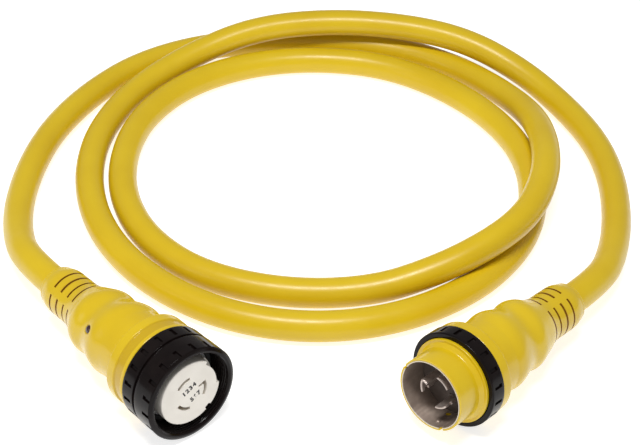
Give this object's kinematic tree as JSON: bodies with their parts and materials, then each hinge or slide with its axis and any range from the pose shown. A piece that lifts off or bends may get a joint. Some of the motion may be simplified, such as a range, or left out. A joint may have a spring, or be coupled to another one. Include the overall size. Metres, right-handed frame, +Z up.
{
  "type": "shore power cord",
  "caption": "Heavy shore power cord laid in loose turns, with a moulded female connector with a threaded locking ring at one end and a locking plug at the other.",
  "frame": {"origin": "on the floor under the middle of the box round the two ends", "axes": "+Z up, +X from the connector to the plug, +Y from the ends towards the turns of cable"},
  "size_m": [0.5858, 0.6197, 0.085],
  "materials": {
    "yellow_moulding": "soft yellow moulding with a satin gloss",
    "yellow_jacket": "smooth yellow cable jacket",
    "black_nylon": "polished black moulding",
    "cream_nylon": "smooth cream moulding",
    "grey_nylon": "dark grey-brown moulding",
    "insert_nylon": "dark moulding",
    "contact_brass": "plain stamped brass",
    "plated_brass": "nickel-plated brass",
    "shell_steel": "drawn plated shell",
    "retainer_steel": "plain spring steel",
    "seal_rubber": "matt black rubber",
    "core_black": "black insulation",
    "core_red": "red insulation",
    "core_white": "white insulation",
    "core_green": "green insulation",
    "light_lens": "dark clear lens",
    "light_led": "clear red resin",
    "board_green": "lacquered circuit board",
    "resistor_tan": "lacquered resistor",
    "lead_black": "thin black insulation"
  },
  "bodies": {
    "cordset": {"cable": "yellow_jacket", "connector_face": "cream_nylon", "connector_grip": "yellow_moulding", "connector_ground_contact": "contact_brass", "connector_ground_core": "core_green", "connector_insert": "insert_nylon", "connector_jacket_end": "yellow_jacket", "connector_line_1_contact": "contact_brass", "connector_line_1_core": "core_black", "connector_line_2_contact": "contact_brass", "connector_line_2_core": "core_red", "connector_neutral_contact": "contact_brass", "connector_neutral_core": "core_white", "connector_ring_retainer": "retainer_steel", "plug_face": "grey_nylon", "plug_grip": "yellow_moulding", "plug_ground_core": "core_green", "plug_ground_shell": "shell_steel", "plug_insert": "insert_nylon", "plug_jacket_end": "yellow_jacket", "plug_line_1_blade": "plated_brass", "plug_line_1_core": "core_black", "plug_line_2_blade": "plated_brass", "plug_line_2_core": "core_red", "plug_neutral_blade": "plated_brass", "plug_neutral_core": "core_white", "plug_sleeve": "yellow_moulding", "power_light_board": "board_green", "power_light_leads": "lead_black", "power_light_led": "light_led", "power_light_lens": "light_lens", "power_light_resistor": "resistor_tan"},
    "connector_ring": {"connector_locking_ring": "black_nylon", "connector_seal": "seal_rubber"},
    "plug_ring": {"plug_locking_ring": "black_nylon"}
  },
  "joints": [
    {"name": "connector_ring_turn", "type": "hinge", "parent": "cordset", "child": "connector_ring", "pos_m": [-0.10331, -0.04999, 0.04252], "axis": [0.669, -0.7404, 0.0645], "continuous": true},
    {"name": "plug_ring_turn", "type": "hinge", "parent": "cordset", "child": "plug_ring", "pos_m": [0.11721, -0.03204, 0.04156], "axis": [-0.6773, -0.7314, 0.0802], "continuous": true}
  ]
}
